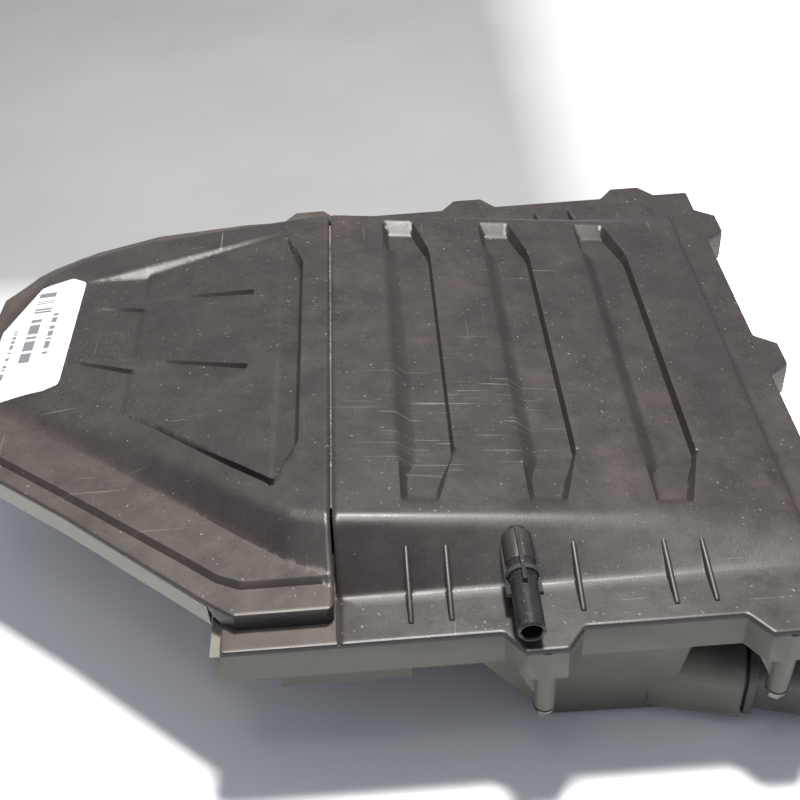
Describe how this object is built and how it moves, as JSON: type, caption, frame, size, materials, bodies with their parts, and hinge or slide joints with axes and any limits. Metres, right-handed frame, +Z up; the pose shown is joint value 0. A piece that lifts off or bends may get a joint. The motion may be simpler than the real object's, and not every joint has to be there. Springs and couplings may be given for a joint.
{
  "type": "air filter housing",
  "caption": "Flat panel air filter housing: tub with raw-air neck, ribbed screw-down cover and a side duct running to a round clean-air outlet.",
  "frame": {"origin": "centre of the whole housing's box, on the surface that its rubber mounts rest on", "axes": "+X from the clean-air outlet towards the raw-air neck, +Y away from the vent tube's side, +Z up, the way the cover lifts off"},
  "size_m": [0.483, 0.3731, 0.116],
  "materials": {
    "cover_plastic": "fine-grained glass-filled moulding, satin, dusty",
    "tub_plastic": "fine-grained moulding, matt, dusty",
    "neck_plastic": "satin moulding",
    "vent_plastic": "semi-gloss moulding",
    "soft_rubber": "matt",
    "sleeve_metal": "zinc plated",
    "screw_steel": "zinc plated",
    "insert_brass": "turned",
    "filter_foam": "moulded polyurethane",
    "filter_paper": "pleated",
    "filter_glue": "hot-melt bead",
    "filter_grid": "moulded grid",
    "label_paper": "adhesive paper"
  },
  "bodies": {
    "root": {"lower_housing": "tub_plastic", "inlet_neck": "neck_plastic", "inlet_seal": "soft_rubber", "drain_valve": "soft_rubber", "mount_grommets": "soft_rubber", "mount_sleeves": "sleeve_metal", "screw_sleeves": "sleeve_metal"},
    "cover": {"main_cover": "cover_plastic", "cover_inserts": "insert_brass", "seam_gasket": "soft_rubber", "duct_lower_shell": "tub_plastic", "duct_upper_shell": "cover_plastic", "outlet_collar": "neck_plastic", "outlet_mesh": "neck_plastic", "vent_tube": "vent_plastic", "vent_seal": "soft_rubber", "label": "label_paper"},
    "filter_element": {"filter_frame": "filter_foam", "filter_pleats": "filter_paper", "filter_glue_beads": "filter_glue", "filter_mesh": "filter_grid"},
    "cover_screws": {"cover_screws": "screw_steel"}
  },
  "joints": [
    {"name": "cover_lift", "type": "slide", "parent": "root", "child": "cover", "axis": [0, 0, 1], "range_m": [0, 0.12]},
    {"name": "filter_lift", "type": "slide", "parent": "root", "child": "filter_element", "axis": [0, 0, 1], "range_m": [0, 0.06]},
    {"name": "screw_withdraw", "type": "slide", "parent": "root", "child": "cover_screws", "axis": [0, 0, -1], "range_m": [0, 0.012]}
  ],
  "couplings": [
    {"joint": "filter_lift", "follows": "cover_lift", "ratio": 0.5},
    {"joint": "screw_withdraw", "follows": "cover_lift", "ratio": 0.1}
  ]
}
